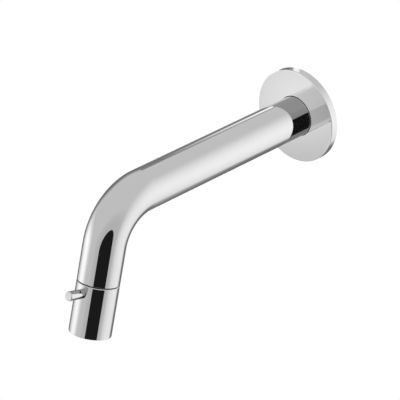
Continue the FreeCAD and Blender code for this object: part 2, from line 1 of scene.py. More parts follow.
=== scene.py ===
"""Looks of a chromed wall-mounted basin tap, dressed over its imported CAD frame.

Lengths are in millimetres in the sizes and in metres in the meshes. A turned
piece is an outline of corners, each at a radius from the spout's centreline and
a distance along it from the wall, and one Geometry Nodes tree turns the outline
about that straight and bent centreline.
"""

import json
import logging
import math
from contextlib import contextmanager
from dataclasses import dataclass
from enum import Enum
from typing import Any, Callable, ClassVar, Iterator, Mapping, Optional, Sequence, TypeVar, Union

import bmesh
import bpy
from bpy.types import Material, Mesh, Object
from mathutils import Matrix, Vector

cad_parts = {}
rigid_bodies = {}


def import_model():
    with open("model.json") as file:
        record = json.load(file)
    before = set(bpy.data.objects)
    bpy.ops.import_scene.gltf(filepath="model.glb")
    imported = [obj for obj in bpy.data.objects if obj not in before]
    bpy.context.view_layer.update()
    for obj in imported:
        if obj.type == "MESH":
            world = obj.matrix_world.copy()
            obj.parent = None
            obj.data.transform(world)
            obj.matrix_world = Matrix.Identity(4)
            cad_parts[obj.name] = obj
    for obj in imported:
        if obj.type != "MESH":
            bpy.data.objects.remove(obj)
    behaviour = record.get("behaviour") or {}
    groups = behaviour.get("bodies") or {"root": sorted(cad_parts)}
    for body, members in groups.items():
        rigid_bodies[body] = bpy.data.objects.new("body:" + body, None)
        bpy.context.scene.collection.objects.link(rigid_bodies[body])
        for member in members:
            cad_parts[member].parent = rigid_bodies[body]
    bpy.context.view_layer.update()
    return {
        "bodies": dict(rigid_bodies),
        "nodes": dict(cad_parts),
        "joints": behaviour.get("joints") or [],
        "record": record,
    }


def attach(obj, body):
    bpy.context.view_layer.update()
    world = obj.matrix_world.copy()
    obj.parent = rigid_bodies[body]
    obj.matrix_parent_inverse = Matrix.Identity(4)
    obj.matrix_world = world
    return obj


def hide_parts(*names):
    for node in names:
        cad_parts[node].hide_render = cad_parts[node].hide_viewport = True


LOG = logging.getLogger("basin_tap")
MM = 0.001
HEXAGON = 6
WHITE = (1.0, 1.0, 1.0, 1.0)
SHARP_ANGLE = math.radians(35.0)
MERGE_DISTANCE = 1e-6
# How near the guard points stand to the finest edges, in millimetres.
CLOSE_GUARD = 0.04
# A length that no piece reaches, in millimetres, so that its line stays straight.
NO_BEND = 10000.0
# The angle that Blender's wave texture turns by for each unit of its scale.
WAVE_RADIANS = 20.0
# What the cards and the lamp face, and how far the cards stand from it, in metres.
STAGE_CENTRE = Vector((0.0, -0.12, -0.02))
CARD_DISTANCE = 2.0

Colour = tuple[float, float, float]
Point = tuple[float, float]
Row = tuple[Vector, Vector]
Shaded = TypeVar("Shaded", Material, bpy.types.World)


class CadBody(str, Enum):
    """The two bodies of the CAD frame."""

    SPOUT = "spout"
    OUTLET = "outlet"


class Slot(str, Enum):
    """The record's material slots."""

    CHROME = "chrome"
    BRASS = "brass"
    STEEL = "steel"
    RUBBER = "rubber"
    FOAM = "gasket_foam"
    CERAMIC = "ceramic"
    BLACK = "black_plastic"
    WHITE = "white_plastic"
    GREY = "grey_plastic"


class Axis(str, Enum):
    """The axis that lathe marks repeat along."""

    OUT = "Y"
    UP = "Z"


class Edge(float, Enum):
    """How far an edge is rounded, in millimetres."""

    SHARP = 0.0
    HAIR = 0.05
    FINE = 0.08
    SMALL = 0.1
    EASED = 0.15
    SOFT = 0.2
    FULL = 0.25


def operator(operation: str, reflected: bool = False) -> Callable[["Wire", Any], "Wire"]:
    """Make one of Wire's operators.

    Args:
        operation: Blender's name of the operation.
        reflected: Whether the wire is the second operand.

    Returns:
        A method that adds a Math node.
    """

    def method(self: "Wire", other: Any) -> "Wire":
        """Add the operation's Math node."""
        return self.bench.maths(operation, *((other, self) if reflected else (self, other)))

    return method


class Wire:
    """A node's output that takes part in sums by adding Math nodes."""

    __add__, __radd__ = operator("ADD"), operator("ADD", True)
    __sub__, __rsub__ = operator("SUBTRACT"), operator("SUBTRACT", True)
    __mul__, __rmul__ = operator("MULTIPLY"), operator("MULTIPLY", True)
    __truediv__, __rtruediv__ = operator("DIVIDE"), operator("DIVIDE", True)
    least, most = operator("MINIMUM"), operator("MAXIMUM")

    def __init__(self, bench: "NodeBench", socket: bpy.types.NodeSocket) -> None:
        """Hold one output socket of a tree."""
        self.bench = bench
        self.socket = socket

    def out(self, name: Union[str, int]) -> "Wire":
        """Give another output of the same node."""
        return Wire(self.bench, self.socket.node.outputs[name])

    def sine(self) -> "Wire":
        """Give the sine."""
        return self.bench.maths("SINE", self)

    def cosine(self) -> "Wire":
        """Give the cosine."""
        return self.bench.maths("COSINE", self)

    def size(self) -> "Wire":
        """Give the value without its sign."""
        return self.bench.maths("ABSOLUTE", self)


class NodeBench:
    """Adds nodes to one shader, world or geometry tree."""

    def __init__(self, tree: bpy.types.NodeTree) -> None:
        """Hold the tree."""
        self.tree = tree

    def add(
        self, kind: str, inputs: Optional[Mapping[Union[str, int], Any]] = None, **settings: Any
    ) -> Wire:
        """Add one node, with its settings first and its sockets after them.

        Args:
            kind: Blender's type of the node.
            inputs: A wire or a plain value for each socket.
            settings: The node's own properties.

        Returns:
            The node's first output, or its first input where it has none.
        """
        node = self.tree.nodes.new(kind)
        for name, value in settings.items():
            setattr(node, name, value)
        for name, value in (inputs or {}).items():
            if isinstance(value, Wire):
                self.tree.links.new(value.socket, node.inputs[name])
            else:
                node.inputs[name].default_value = value
        return Wire(self, node.outputs[0] if node.outputs else node.inputs[0])

    def maths(self, operation: str, *values: Any) -> Wire:
        """Add a Math node for an operation on wires or numbers."""
        return self.add("ShaderNodeMath", dict(enumerate(values)), operation=operation)

    def split(self, vector: Wire) -> tuple[Wire, Wire, Wire]:
        """Give a vector's three parts."""
        parts = self.add("ShaderNodeSeparateXYZ", {0: vector})
        return parts.out(0), parts.out(1), parts.out(2)

    def joint(self, *parts: Any) -> Wire:
        """Give the vector of three parts."""
        return self.add("ShaderNodeCombineXYZ", dict(enumerate(parts)))

    def smooth_step(self, value: Wire, low: float, high: float) -> Wire:
        """Rise smoothly from 0 where a value is at low to 1 where it is at high."""
        inputs = {"Value": value, "From Min": low, "From Max": high}
        return self.add("ShaderNodeMapRange", inputs, interpolation_type="SMOOTHSTEP")

    def mix_colour(self, share: Wire, first: Colour, second: Colour) -> Wire:
        """Mix two colours by a share of the second."""
        inputs = {0: share, 6: (*first, 1.0), 7: (*second, 1.0)}
        return self.add("ShaderNodeMix", inputs, data_type="RGBA").out(2)

    def mix_shader(self, share: Wire, first: Wire, second: Wire) -> Wire:
        """Mix two shaders by a share of the second."""
        return self.add("ShaderNodeMixShader", {0: share, 1: first, 2: second})

    def ray(self, kind: str) -> Wire:
        """Give 1 for rays of a kind, and 0 for others."""
        return self.add("ShaderNodeLightPath").out(f"Is {kind} Ray")

    def glow(self, level: float) -> Wire:
        """Give a white shader that shines at a level."""
        return self.add("ShaderNodeEmission", {"Color": WHITE, "Strength": level})

    def noise(self, place: Wire, grain_mm: float, detail: float) -> Wire:
        """Give a soft noise whose grains are about as wide as asked."""
        inputs = {"Vector": place, "Scale": 1.0 / (grain_mm * MM), "Detail": detail}
        return self.add("ShaderNodeTexNoise", inputs)

    def bump(self, height: Wire, depth_mm: float, strength: float) -> Wire:
        """Give a normal that follows a height."""
        inputs = {"Height": height, "Distance": depth_mm * MM, "Strength": strength}
        return self.add("ShaderNodeBump", inputs)


def shade(owner: Shaded, make: Callable[[NodeBench], Wire]) -> Shaded:
    """Give a material or a world its nodes.

    Args:
        owner: The material or the world.
        make: Adds the nodes of its shader and gives the shader.

    Returns:
        The same material or world.
    """
    owner.use_nodes = True
    owner.node_tree.nodes.clear()
    bench = NodeBench(owner.node_tree)
    bench.add("ShaderNodeOutput" + type(owner).__name__, {"Surface": make(bench)})
    return owner


@dataclass(frozen=True)
class Finish:
    """A surface finish; each kind below adds its own pattern.

    Attributes:
        tones: The darkest and the brightest share of its colour.
        name: The material's name.
        slot: The record's slot that it belongs to.
        colour: Its colour.
        roughness: Its roughness, before its pattern.
        grain_mm: The width of its pattern's grains.
    """

    tones: ClassVar[Point]

    name: str
    slot: Slot
    colour: Colour
    roughness: float
    grain_mm: float

    def material(self) -> Material:
        """Build a node material named after the finish."""
        return shade(bpy.data.materials.new(self.name), self.shader)

    def shader(self, bench: NodeBench) -> Wire:
        """Give the shader, with its pattern placed on the piece."""
        place = bench.add("ShaderNodeTexCoord").out("Object")
        return bench.add("ShaderNodeBsdfPrincipled", self.sockets(bench, place))

    def tinted(self, bench: NodeBench, share: Wire) -> Wire:
        """Mix the finish's two tones by a share of the brighter one."""
        dark, bright = (tuple(min(1.0, part * tone) for part in self.colour) for tone in self.tones)
        return bench.mix_colour(share, dark, bright)

    def sockets(self, bench: NodeBench, place: Wire) -> dict[str, Any]:
        """Give the shader's sockets for this finish.

        Args:
            bench: Where the nodes go.
            place: The point on the piece.

        Returns:
            The value or wire of each socket that isn't left as it is.
        """
        raise NotImplementedError


@dataclass(frozen=True)
class PolishedChrome(Finish):
    """A mirror plate with the faint wipe marks and dust that any handled chrome has."""

    tones: ClassVar[Point] = (0.985, 1.015)

    wipe_roughness: float
    dust_share: float = 0.25
    dust_fineness: float = 60.0

    def sockets(self, bench: NodeBench, place: Wire) -> dict[str, Any]:
        """Cloud the mirror with wipe marks and dust.

        Args:
            bench: Where the nodes go.
            place: The point on the piece.

        Returns:
            The colour, the metal and the clouded roughness.
        """
        cloud = bench.noise(place, self.grain_mm, detail=3.0)
        dust = bench.noise(place, self.grain_mm / self.dust_fineness, detail=1.0)
        wipe = self.wipe_roughness
        return {
            "Base Color": self.tinted(bench, cloud),
            "Metallic": 1.0,
            "Roughness": self.roughness + wipe * cloud + self.dust_share * wipe * dust,
        }


@dataclass(frozen=True)
class TurnedMetal(Finish):
    """Bare metal with the fine rings that a lathe tool leaves, and some tarnish."""

    tones: ClassVar[Point] = (0.8, 1.12)

    axis: Axis
    ring_depth_mm: float
    ring_relief: float = 0.5
    ring_roughness: float = 0.06
    ring_waver: float = 1.5
    tarnish_spread: float = 20.0
    tarnish_roughness: float = 0.12

    def sockets(self, bench: NodeBench, place: Wire) -> dict[str, Any]:
        """Add the rings and the tarnish.

        Args:
            bench: Where the nodes go.
            place: The point on the piece.

        Returns:
            The tarnished colour and roughness, the metal and the rings' normal.
        """
        scale = math.tau / (WAVE_RADIANS * self.grain_mm * MM)
        turns = {"Vector": place, "Scale": scale, "Distortion": self.ring_waver, "Detail": 2.0}
        settings = {"wave_type": "BANDS", "bands_direction": self.axis.value, "wave_profile": "SIN"}
        rings = bench.add("ShaderNodeTexWave", turns, **settings).out("Fac")
        tarnish = bench.noise(place, self.grain_mm * self.tarnish_spread, detail=4.0)
        dull = self.roughness + self.tarnish_roughness * tarnish
        return {
            "Base Color": self.tinted(bench, tarnish),
            "Metallic": 1.0,
            "Roughness": dull + self.ring_roughness * rings,
            "Normal": bench.bump(rings, self.ring_depth_mm, self.ring_relief),
        }


@dataclass(frozen=True)
class Moulded(Finish):
    """Moulded plastic or rubber with a fine stippled skin and faint flow marks."""

    tones: ClassVar[Point] = (0.88, 1.1)

    stipple_depth_mm: float
    shine: float = 0.5
    stipple_relief: float = 0.4
    stipple_polish: float = 0.07
    flow_spread: float = 18.0
    flow_roughness: float = 0.14

    def sockets(self, bench: NodeBench, place: Wire) -> dict[str, Any]:
        """Add the stipple and the flow marks.

        Args:
            bench: Where the nodes go.
            place: The point on the piece.

        Returns:
            The colour, the roughness, the shine and the skin's normal.
        """
        skin = bench.noise(place, self.grain_mm, detail=2.0)
        flow = bench.noise(place, self.grain_mm * self.flow_spread, detail=3.0)
        return {
            "Base Color": self.tinted(bench, flow),
            "Roughness": self.roughness + self.flow_roughness * flow - self.stipple_polish * skin,
            "Specular IOR Level": self.shine,
            "Normal": bench.bump(skin, self.stipple_depth_mm, self.stipple_relief),
        }


@dataclass(frozen=True)
class CellFoam(Finish):
    """Closed-cell foam with the cut cells open on its faces, and painted shade in their hollows."""

    # The dark tone is painted shade at the bottom of the cells' hollows.
    tones: ClassVar[Point] = (0.5, 1.5)

    cell_depth_mm: float
    cell_relief: float = 0.8
    cell_polish: float = 0.15

    def sockets(self, bench: NodeBench, place: Wire) -> dict[str, Any]:
        """Add the cells, with painted shade that darkens the colour in each cell's hollow.

        Args:
            bench: Where the nodes go.
            place: The point on the piece.

        Returns:
            The colour, darker as painted shade where each cell is deepest, the roughness and the
            normal of the open cells.
        """
        inputs = {"Vector": place, "Scale": 1.0 / (self.grain_mm * MM)}
        cells = bench.add("ShaderNodeTexVoronoi", inputs, feature="SMOOTH_F1").out("Distance")
        return {
            # Painted shade: the colour darkens with the bump's depth, darkest at the bottom of each
            # cell.
            "Base Color": self.tinted(bench, cells),
            "Roughness": self.roughness - self.cell_polish * cells,
            "Normal": bench.bump(cells, self.cell_depth_mm, self.cell_relief),
        }


class Surface(Enum):
    """Every finish on the tap: its name, slot, colour, roughness, grain and pattern's sizes."""

    CHROME = PolishedChrome("polished_chrome", Slot.CHROME, (0.508, 0.508, 0.508), 0.018, 22.0, 0.03)
    BRASS = TurnedMetal("turned_brass", Slot.BRASS, (0.72, 0.5, 0.2), 0.24, 0.22, Axis.OUT, 0.008)
    STEEL = TurnedMetal("turned_steel", Slot.STEEL, (0.46, 0.46, 0.47), 0.28, 0.2, Axis.UP, 0.008)
    RUBBER = Moulded("black_ring_rubber", Slot.RUBBER, (0.018, 0.018, 0.019), 0.55, 0.3, 0.02)
    FOAM = CellFoam("grey_gasket_foam", Slot.FOAM, (0.06, 0.062, 0.065), 0.9, 0.9, 0.25)
    CERAMIC = Moulded("lapped_white_ceramic", Slot.CERAMIC, (0.83, 0.81, 0.75), 0.16, 0.15, 0.002)
    BLACK = Moulded("black_slide_plastic", Slot.BLACK, (0.012, 0.012, 0.013), 0.42, 0.25, 0.01, 0.1)
    WHITE = Moulded("white_aerator_plastic", Slot.WHITE, (0.66, 0.67, 0.66), 0.4, 0.25, 0.012)
    GREY = Moulded("grey_aerator_plastic", Slot.GREY, (0.16, 0.165, 0.17), 0.42, 0.25, 0.012)


@dataclass(frozen=True)
class Corner:
    """A corner of an outline, in millimetres.

    Attributes:
        radius: Distance from the axis.
        along: Distance along the axis.
        round: Radius of the rounded edge, or 0 for a sharp one.
    """

    radius: float
    along: float
    round: float = Edge.SHARP

    @property
    def spot(self) -> Vector:
        """The corner as a point."""
        return Vector((self.radius, self.along))


def rounded_outline(corners: Sequence[Corner], steps: int = 6, guard: float = 0.05) -> list[Point]:
    """Round an outline's corners, with a guard point beside each arc.

    The guard points keep the flats beside a rounded edge flat in the shading.

    Args:
        corners: The outline's corners, in order.
        steps: Points of each arc.
        guard: Distance of a guard point from its arc, in millimetres.

    Returns:
        The points of the closed outline.
    """
    points: list[Point] = []
    for index, corner in enumerate(corners):
        here = corner.spot
        if corner.round <= 0.0:
            points.append(tuple(here))
            continue
        back = (corners[index - 1].spot - here).normalized()
        ahead = (corners[(index + 1) % len(corners)].spot - here).normalized()
        half = back.angle(ahead) / 2.0
        reach = corner.round / math.tan(half)
        centre = here + (back + ahead).normalized() * (corner.round / math.sin(half))
        start, end = here + back * reach - centre, here + ahead * reach - centre
        turn = start.angle_signed(end)
        points.append(tuple(here + back * (reach + guard)))
        for step in range(steps + 1):
            points.append(tuple(centre + Matrix.Rotation(-turn * step / steps, 2) @ start))
        points.append(tuple(here + ahead * (reach + guard)))
    return points


def with_stations(outline: Sequence[Point], stations: Sequence[float]) -> list[Point]:
    """Add a point to an outline wherever it passes one of the stations.

    Args:
        outline: The closed outline.
        stations: Distances along the axis.

    Returns:
        The outline with the added points.
    """
    points: list[Point] = []
    for index, (radius, along) in enumerate(outline):
        next_radius, next_along = outline[(index + 1) % len(outline)]
        points.append((radius, along))
        low, high = sorted((along, next_along))
        passed = sorted((s for s in stations if low < s < high), reverse=next_along < along)
        for station in passed:
            share = (station - along) / (next_along - along)
            points.append((radius + (next_radius - radius) * share, station))
    return points


@dataclass(frozen=True)
class Centreline:
    """The line that the spout follows: out from the wall, a bend, then down.

    Attributes:
        straight: Length of the straight run from the wall.
        bend_radius: Radius of the bend.
        bend_degrees: Angle of the bend, with one ring for each degree.
        drop: Length of the straight run down to the mouth.
        margin: Distance of the last ring on each side of the bend.
    """

    straight: float = 132.2
    bend_radius: float = 30.0
    bend_degrees: int = 76
    drop: float = 51.13
    margin: float = 0.3

    @property
    def bend(self) -> float:
        """Angle of the bend in radians."""
        return math.radians(self.bend_degrees)

    @property
    def bend_end(self) -> float:
        """Distance along the line to the end of the bend."""
        return self.straight + self.bend_radius * self.bend

    @property
    def length(self) -> float:
        """Distance along the line to the mouth."""
        return self.bend_end + self.drop

    def stations(self) -> list[float]:
        """Give the distances of close rings round the bend.

        Returns:
            Distances along the line, from the wall outwards.
        """
        arc, count = self.bend_end - self.straight, self.bend_degrees
        rings = [self.straight + arc * k / count for k in range(count + 1)]
        return [self.straight - self.margin, *rings, self.bend_end + self.margin]

    def foot_frame(self, height: float) -> Matrix:
        """Give a frame on the drop's axis.

        Args:
            height: Distance above the mouth, in millimetres.

        Returns:
            A frame in metres whose Z runs up the drop and whose -Y runs forward.
        """
        run = self.drop - height
        out = self.straight + self.bend_radius * math.sin(self.bend) + run * math.cos(self.bend)
        down = self.bend_radius * (1.0 - math.cos(self.bend)) + run * math.sin(self.bend)
        lean = Matrix.Rotation(self.bend - math.pi / 2.0, 4, "X")
        return Matrix.Translation((0.0, -out * MM, -down * MM)) @ lean


LINE = Centreline()
AXIS = Centreline(straight=NO_BEND, bend_radius=NO_BEND, bend_degrees=0, drop=0.0)


def beside(place: float, clearing: float) -> list[float]:
    """Give the stations that keep the curved faces round a drilled hole even."""
    return [place - clearing, place + clearing]


def corner_radius(flats: float) -> float:
    """Give a hexagon's radius to its corners from its width across its flats."""
    return flats / 2.0 / math.cos(math.pi / HEXAGON)


def drill_frame(distance: float, base: Optional[Matrix] = None) -> Matrix:
    """Give the frame of a drill that lies along an axis.

    Args:
        distance: Distance of its middle along -Y, in millimetres.
        base: The frame whose -Y that is, or None for the wall's.

    Returns:
        A frame in metres whose Z lies along that axis.
    """
    shift = Matrix.Translation((0.0, -distance * MM, 0.0))
    return (base @ shift if base else shift) @ Matrix.Rotation(math.pi / 2.0, 4, "X")


def placed(name: str, data: bpy.types.ID) -> Object:
    """Put a mesh, a lamp or a camera into the scene.

    Args:
        name: The object's name.
        data: What it shows.

    Returns:
        The object, at the origin.
    """
    item = bpy.data.objects.new(name, data)
    bpy.context.scene.collection.objects.link(item)
    return item


def baked(holder: Object, name: str) -> Mesh:
    """Turn an object with its modifiers into a plain mesh, and remove the object.

    Args:
        holder: The object to read.
        name: The name of the mesh to make.

    Returns:
        A new mesh that no modifier changes.
    """
    graph = bpy.context.evaluated_depsgraph_get()
    mesh = bpy.data.meshes.new_from_object(holder.evaluated_get(graph))
    mesh.name = name
    bpy.data.objects.remove(holder)
    return mesh


@contextmanager
def opened(mesh: Mesh) -> Iterator[bmesh.types.BMesh]:
    """Open a mesh for work on it, and write it back.

    Args:
        mesh: The mesh to change.

    Yields:
        The mesh to work on.
    """
    work = bmesh.new()
    work.from_mesh(mesh)
    yield work
    work.to_mesh(mesh)
    work.free()


def cleaned(mesh: Mesh) -> Mesh:
    """Close, orient and smooth a mesh.

    Args:
        mesh: The mesh to change.

    Returns:
        The same mesh.
    """
    with opened(mesh) as work:
        bmesh.ops.remove_doubles(work, verts=work.verts, dist=MERGE_DISTANCE)
        bmesh.ops.dissolve_degenerate(work, edges=work.edges, dist=MERGE_DISTANCE / 10.0)
        open_edges = [edge for edge in work.edges if len(edge.link_faces) == 1]
        if open_edges:
            bmesh.ops.holes_fill(work, edges=open_edges, sides=0)
        loose = [edge for edge in work.edges if not edge.link_faces]
        bmesh.ops.delete(work, geom=loose, context="EDGES")
        bmesh.ops.recalc_face_normals(work, faces=work.faces)
        for face in work.faces:
            face.smooth = True
    mesh.set_sharp_from_angle(angle=SHARP_ANGLE)
    return mesh


def joined(first: Mesh, second: Mesh) -> Mesh:
    """Put two meshes into one.

    Args:
        first: The mesh that takes the other in.
        second: The mesh to add.

    Returns:
        The first mesh.
    """
    with opened(first) as work:
        work.from_mesh(second)
    first.set_sharp_from_angle(angle=SHARP_ANGLE)
    return first


def drilled(mesh: Mesh, sides: int, radius: float, depth: float, place: Matrix) -> Mesh:
    """Drill a hole through or into a mesh.

    Args:
        mesh: The mesh to drill.
        sides: Sides of the hole; 6 for a hexagon.
        radius: The hole's radius to its corners, in millimetres.
        depth: The drill's length along the place's Z, in millimetres.
        place: The middle of the drill, in metres.

    Returns:
        A new mesh with the hole.
    """
    tool = bpy.data.meshes.new("drill")
    sizes = {"radius1": radius * MM, "radius2": radius * MM, "depth": depth * MM}
    with opened(tool) as work:
        bmesh.ops.create_cone(work, cap_ends=True, segments=sides, matrix=place, **sizes)
    cutter, holder = placed("drill", tool), placed("drilled", mesh)
    cut = holder.modifiers.new("cut", "BOOLEAN")
    cut.operation = "DIFFERENCE"
    cut.solver = "EXACT"
    cut.object = cutter
    made = baked(holder, mesh.name)
    bpy.data.objects.remove(cutter)
    return cleaned(made)


class GeometryTree:
    """A Geometry Nodes tree with named inputs that gives plain meshes."""

    def __init__(self, name: str, counts: Sequence[str], sizes: Sequence[str]) -> None:
        """Start a tree that takes geometry, counts, sizes and a finish.

        Args:
            name: The tree's name.
            counts: The names of its whole numbers.
            sizes: The names of its other numbers.
        """
        self.tree = bpy.data.node_groups.new(name, "GeometryNodeTree")
        face = self.tree.interface
        kinds = {"Geometry": "Geometry", "Finish": "Material"}
        kinds |= dict.fromkeys(counts, "Int") | dict.fromkeys(sizes, "Float")
        for label, kind in kinds.items():
            face.new_socket(label, in_out="INPUT", socket_type="NodeSocket" + kind)
        face.new_socket("Geometry", in_out="OUTPUT", socket_type="NodeSocketGeometry")
        self.bench = NodeBench(self.tree)
        self.inputs = self.bench.add("NodeGroupInput")

    def given(self, *names: str) -> list[Wire]:
        """Give named inputs of the tree."""
        return [self.inputs.out(name) for name in names]

    def close(self, geometry: Wire) -> None:
        """End the tree in Realize Instances and Set Material.

        Args:
            geometry: What the tree has made.
        """
        whole = self.bench.add("GeometryNodeRealizeInstances", {"Geometry": geometry})
        dressed = {"Geometry": whole, "Material": self.inputs.out("Finish")}
        made = self.bench.add("GeometryNodeSetMaterial", dressed)
        self.bench.add("NodeGroupOutput", {"Geometry": made})

    def run(self, name: str, start: Mesh, values: Mapping[str, Any]) -> Mesh:
        """Run the tree once.

        Args:
            name: The name of the mesh to make.
            start: The geometry that the tree is given.
            values: A value for each named input.

        Returns:
            A plain, closed mesh.
        """
        holder = placed(name + "_maker", start)
        modifier = holder.modifiers.new("tree", "NODES")
        modifier.node_group = self.tree
        for item in self.tree.interface.items_tree:
            if item.item_type == "SOCKET" and item.in_out == "INPUT" and item.name in values:
                modifier[item.identifier] = values[item.name]
        return cleaned(baked(holder, name))


class TurningTree(GeometryTree):
    """Turns an outline about the centreline, once for a ring or often for a thread."""

    def __init__(self) -> None:
        """Build the tree from the rule of the centreline."""
        sizes = ["Straight", "Bend Radius", "Bend Angle", "Turns", "Rise", "Root", "Start Height"]
        super().__init__("turned_piece", ["Rings", "Around"], sizes)
        bench = self.bench
        outline, rings, around = self.given("Geometry", "Rings", "Around")
        straight, bend_radius, bend, turns, rise, root, start_height = self.given(*sizes)
        grid = {"Size X": 1.0, "Size Y": 1.0, "Vertices X": rings + 1.0, "Vertices Y": around + 1.0}
        sheet = bench.add("GeometryNodeMeshGrid", grid)
        place = bench.add("GeometryNodeInputPosition")
        across, aside, _ = bench.split(place)
        row = bench.maths("MODULO", bench.maths("ROUND", (across + 0.5) * rings), rings)
        point = bench.add(
            "GeometryNodeSampleIndex",
            {"Geometry": outline, "Value": place, "Index": row},
            data_type="FLOAT_VECTOR",
            domain="POINT",
        )
        outline_radius, outline_along, _ = bench.split(point)
        turn = (aside + 0.5) * turns
        grown = (start_height + 2.0 * turn.least(turns - turn)).least(1.0)
        radius = root + (outline_radius - root) * grown
        along = outline_along + rise * turn
        bent = ((along - straight) / bend_radius).most(0.0).least(bend)
        rest = (along - straight - bend_radius * bend).most(0.0)
        out = along.least(straight) + bend_radius * bent.sine() + rest * bend.cosine()
        down = bend_radius * (1.0 - bent.cosine()) + rest * bend.sine()
        angle = turn * math.tau
        lift = radius * angle.sine()
        spot = bench.joint(
            radius * angle.cosine(), 0.0 - out - lift * bent.sine(), lift * bent.cosine() - down
        )
        moved = bench.add("GeometryNodeSetPosition", {"Geometry": sheet, "Position": spot})
        merge = {"Geometry": moved, "Distance": MERGE_DISTANCE}
        self.close(bench.add("GeometryNodeMergeByDistance", merge))


class HoneycombTree(GeometryTree):
    """Cuts a honeycomb of six-sided cells through a round plate."""

    def __init__(self, faces: int = 96) -> None:
        """Build the tree.

        Args:
            faces: Faces round the plate.
        """
        sizes = ["Radius", "Height", "Cell", "Pitch", "Reach"]
        super().__init__("honeycomb_plate", ["Rows"], sizes)
        bench = self.bench
        (rows,) = self.given("Rows")
        plate_radius, height, cell_radius, pitch, reach = self.given(*sizes)
        span = pitch * (rows - 1.0)
        grid = {"Size X": span, "Size Y": span, "Vertices X": rows, "Vertices Y": rows}
        lattice = bench.add("GeometryNodeMeshGrid", grid)
        across, aside, _ = bench.split(bench.add("GeometryNodeInputPosition"))
        row = bench.maths("ROUND", aside / pitch).size()
        shift = bench.maths("MODULO", row, 2.0) * pitch * 0.5
        shifted = bench.joint(across + shift, aside * math.sqrt(0.75), 0.0)
        spread = bench.add("GeometryNodeSetPosition", {"Geometry": lattice, "Position": shifted})
        place = bench.add("GeometryNodeInputPosition")
        far = bench.add("ShaderNodeVectorMath", {0: place}, operation="LENGTH").out("Value")
        outside = {"Geometry": spread, "Selection": bench.maths("GREATER_THAN", far, reach)}
        kept = bench.add("GeometryNodeDeleteGeometry", outside)
        cell_sizes = {"Vertices": HEXAGON, "Radius": cell_radius, "Depth": height * 2.0}
        cell = bench.add("GeometryNodeMeshCylinder", cell_sizes)
        turned = {"Points": kept, "Instance": cell, "Rotation": (0.0, 0.0, math.pi / HEXAGON)}
        cells = bench.add("GeometryNodeInstanceOnPoints", turned)
        cutters = bench.add("GeometryNodeRealizeInstances", {"Geometry": cells})
        plate_sizes = {"Vertices": faces, "Radius": plate_radius, "Depth": height}
        plate = bench.add("GeometryNodeMeshCylinder", plate_sizes)
        meshes = {"Mesh 1": plate, "Mesh 2": cutters}
        self.close(bench.add("GeometryNodeMeshBoolean", meshes, operation="DIFFERENCE"))


class Workshop:
    """Holds the frame's nodes, the finishes and the trees, and makes pieces with them."""

    def __init__(self, frame: Mapping[str, Any]) -> None:
        """Make the materials and the trees.

        Args:
            frame: The loaded CAD frame.
        """
        self.nodes: Mapping[str, Object] = frame["nodes"]
        self.materials = {surface: surface.value.material() for surface in Surface}
        self.turning = TurningTree()
        self.honeycomb = HoneycombTree()

    def turned(
        self,
        name: str,
        outline: Sequence[Point],
        surface: Surface,
        around: int,
        line: Centreline = LINE,
        turns: float = 1.0,
        rise: float = 0.0,
        root: Optional[float] = None,
    ) -> Mesh:
        """Turn an outline about a line.

        Args:
            name: The name of the mesh.
            outline: Points of radius and distance, in millimetres.
            surface: Its finish.
            around: Faces round the whole sweep.
            line: The line to turn it about.
            turns: How often the outline goes round.
            rise: Distance that it moves along the axis in each turn.
            root: Radius that a thread grows from at its two ends.

        Returns:
            A closed mesh in metres.
        """
        start = bpy.data.meshes.new(name + "_outline")
        count = len(outline)
        rim = [(k, (k + 1) % count) for k in range(count)]
        start.from_pydata([(r * MM, a * MM, 0.0) for r, a in outline], rim, [])
        values = {
            "Rings": count,
            "Around": around,
            "Straight": line.straight * MM,
            "Bend Radius": line.bend_radius * MM,
            "Bend Angle": line.bend,
            "Turns": turns,
            "Rise": rise * MM,
            "Root": (root or 0.0) * MM,
            "Start Height": 1.0 if root is None else 0.0,
            "Finish": self.materials[surface],
        }
        return self.turning.run(name, start, values)

    def coat(self, mesh: Mesh, surface: Surface) -> None:
        """Give a mesh one finish all over."""
        mesh.materials.clear()
        mesh.materials.append(self.materials[surface])

    def piece(self, name: str, mesh: Mesh, body: CadBody, surface: Surface, stands_for: str) -> None:
        """Put a finished mesh into the scene in place of its CAD node.

        Args:
            name: The piece's name.
            mesh: Its mesh, in its place.
            body: The body that it rides on.
            surface: Its finish.
            stands_for: The CAD node that it replaces.
        """
        self.coat(mesh, surface)
        made = placed(name, mesh)
        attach(made, body.value)
        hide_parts(stands_for)
        LOG.info("made %s: %d faces, in place of %s", name, len(mesh.polygons), stands_for)

    def dress(self, surface: Surface, nodes: Sequence[str]) -> None:
        """Give CAD nodes a finish.

        Args:
            surface: The finish.
            nodes: The nodes' names.
        """
        for name in nodes:
            self.coat(self.nodes[name].data, surface)
            LOG.info("dressed %s in %s", name, surface.value.name)


@dataclass
class Assembly:
    """A sub-assembly of the tap.

    Attributes:
        finishes: The CAD nodes that keep their shape, under their finish.
        shop: Where its pieces are made.
    """

    finishes: ClassVar[Mapping[Surface, Sequence[str]]] = {}

    shop: Workshop

    def build(self) -> None:
        """Make the pieces that replace CAD nodes, where there are any."""

    def dress(self) -> None:
        """Finish the CAD nodes that keep their shape."""
        for surface, nodes in self.finishes.items():
            self.shop.dress(surface, nodes)


